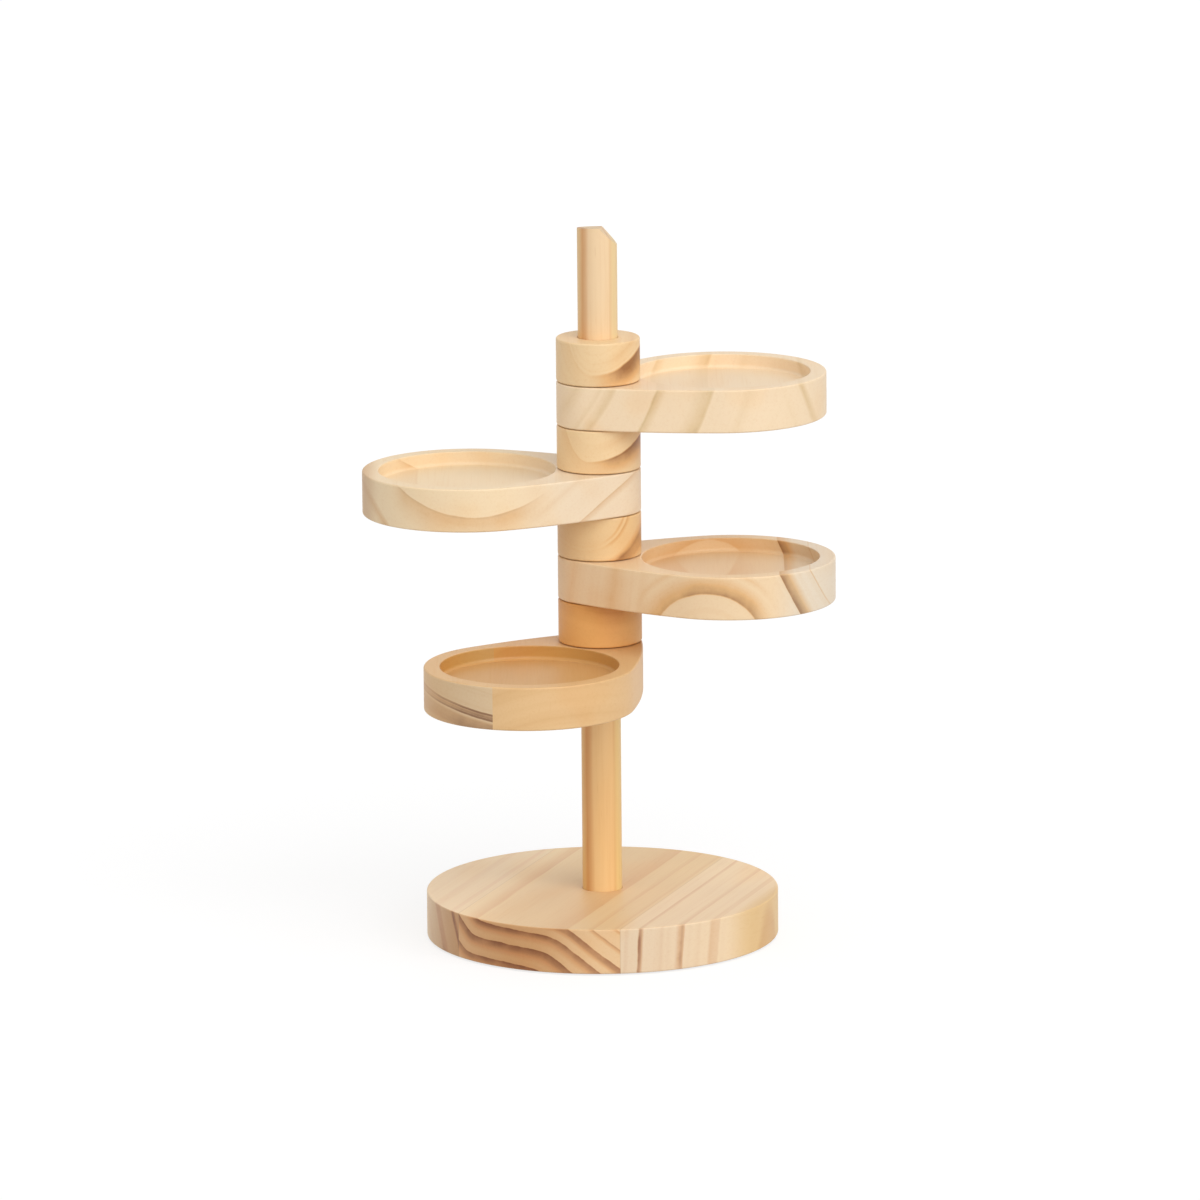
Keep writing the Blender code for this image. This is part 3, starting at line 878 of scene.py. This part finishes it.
def make_trays():
    layout = tray_layout()
    boards = tray_boards()
    hub = hub_radius()
    bore = post_radius() + FIT_GAP
    lowest = min(layout, key=lambda name: layout[name][2])
    for name, (angle, reach, floor) in layout.items():
        low, high = box_of(name)
        thickness = high.z - low.z
        dish = farthest_reach(name) - reach
        outline = teardrop_outline(hub - SKIN, dish - SKIN, reach)
        turn = Matrix.Rotation(angle, 4, "Z")
        radius = reach - hub - FIT_GAP
        boards[name]["hollow"] = (turn @ Vector((reach, 0, 0)), radius, floor - low.z)
        material = pine_material(f"{name}_pine", boards[name])
        tray = add_object(f"{name}_wood", tray_blank_mesh(f"{name}_wood", outline, thickness), material)
        recess = add_object("recess_cutter", recess_cutter(radius, floor - low.z, thickness))
        recess.location.x = reach
        bore_profile = [(bore, -CUT_OVERRUN), (bore, thickness + CUT_OVERRUN)]
        bore_mesh = turned_mesh("bore_cutter", bore_profile, POST_SEGMENTS)
        cutters = [recess, add_object("bore_cutter", bore_mesh)]
        if name == lowest:
            cutters.append(pin_pocket_cutter(low.z))
        carve(tray, *cutters)
        tray.data.transform(turn)
        tray.location.z = low.z
        settle(tray, name, frame_slot(name), name)


def dress_steel():
    steel = steel_material()
    for name in ("base_screw", "stop_pin"):
        frame["nodes"][name].material_slots[0].material = steel


# Studio

def white_for_camera(tree):
    """1 for rays that come straight from the camera or by way of gloss or glass."""
    rays = add_node(tree, "ShaderNodeLightPath")
    seen = Field(tree, rays.outputs["Is Camera Ray"])
    for other in ("Is Glossy Ray", "Is Transmission Ray"):
        seen = seen.math("MAXIMUM", Field(tree, rays.outputs[other]))
    return seen


def make_world():
    world = bpy.data.worlds.new("studio")
    world.use_nodes = True
    bpy.context.scene.world = world
    tree = world.node_tree
    background = tree.nodes["Background"]
    background.inputs["Color"].default_value = opaque(WHITE)
    feed(tree, background.inputs["Strength"], white_for_camera(tree) * (1.0 - AMBIENT) + AMBIENT)


def make_floor():
    bm = bmesh.new()
    bmesh.ops.create_circle(bm, cap_ends=True, segments=FLOOR_SEGMENTS, radius=FLOOR_RADIUS)
    mesh = mesh_from("floor", bm)
    material, tree, shader = new_material("floor")
    seen = white_for_camera(tree)
    feed(tree, shader.inputs["Base Color"], mix_colors(seen, FLOOR_COLOR, SHADOW_COLOR))
    shader.inputs["Roughness"].default_value = FLOOR_ROUGHNESS
    shader.inputs["Specular IOR Level"].default_value = 0.0
    shader.inputs["Emission Color"].default_value = opaque(WHITE)
    feed(tree, shader.inputs["Emission Strength"], seen * FLOOR_GLOW)
    add_object("floor", mesh, material, height=-FLOOR_DROP)


def add_softbox(name, strength, softness, azimuth, elevation):
    """A lamp far away, to the right of the camera by its azimuth. Its softness is how wide it looks."""
    light = bpy.data.lights.new(name, "SUN")
    light.energy = strength * math.pi
    light.angle = softness
    lamp = bpy.data.objects.new(name, light)
    bpy.context.collection.objects.link(lamp)
    level = math.cos(elevation)
    place = Vector((level * math.sin(azimuth), -level * math.cos(azimuth), math.sin(elevation)))
    lamp.location = place
    lamp.rotation_euler = place.to_track_quat("Z", "Y").to_euler()


def make_camera():
    data = bpy.data.cameras.new("camera")
    data.sensor_width = SENSOR_MM
    data.lens = FOCAL_PIXELS / PHOTO_PIXELS * SENSOR_MM
    data.clip_end = 2 * CAMERA_DISTANCE + FLOOR_RADIUS
    camera = bpy.data.objects.new("camera", data)
    bpy.context.collection.objects.link(camera)
    away = Vector((0, -math.cos(CAMERA_ELEVATION), math.sin(CAMERA_ELEVATION)))
    camera.location = CAMERA_TARGET + away * CAMERA_DISTANCE
    level = away.to_track_quat("Z", "Y").to_matrix()
    camera.rotation_euler = (level @ Matrix.Rotation(CAMERA_ROLL, 3, "Z")).to_euler()
    bpy.context.scene.camera = camera


def make_studio():
    make_world()
    make_floor()
    add_softbox("key", KEY_STRENGTH, KEY_SOFTNESS, KEY_AZIMUTH, KEY_ELEVATION)
    add_softbox("fill", FILL_STRENGTH, FILL_SOFTNESS, FILL_AZIMUTH, FILL_ELEVATION)
    bpy.context.scene.view_settings.view_transform = "Standard"


make_camera()
make_studio()
make_base()
make_pad()
make_post()
make_collars()
make_trays()
dress_steel()
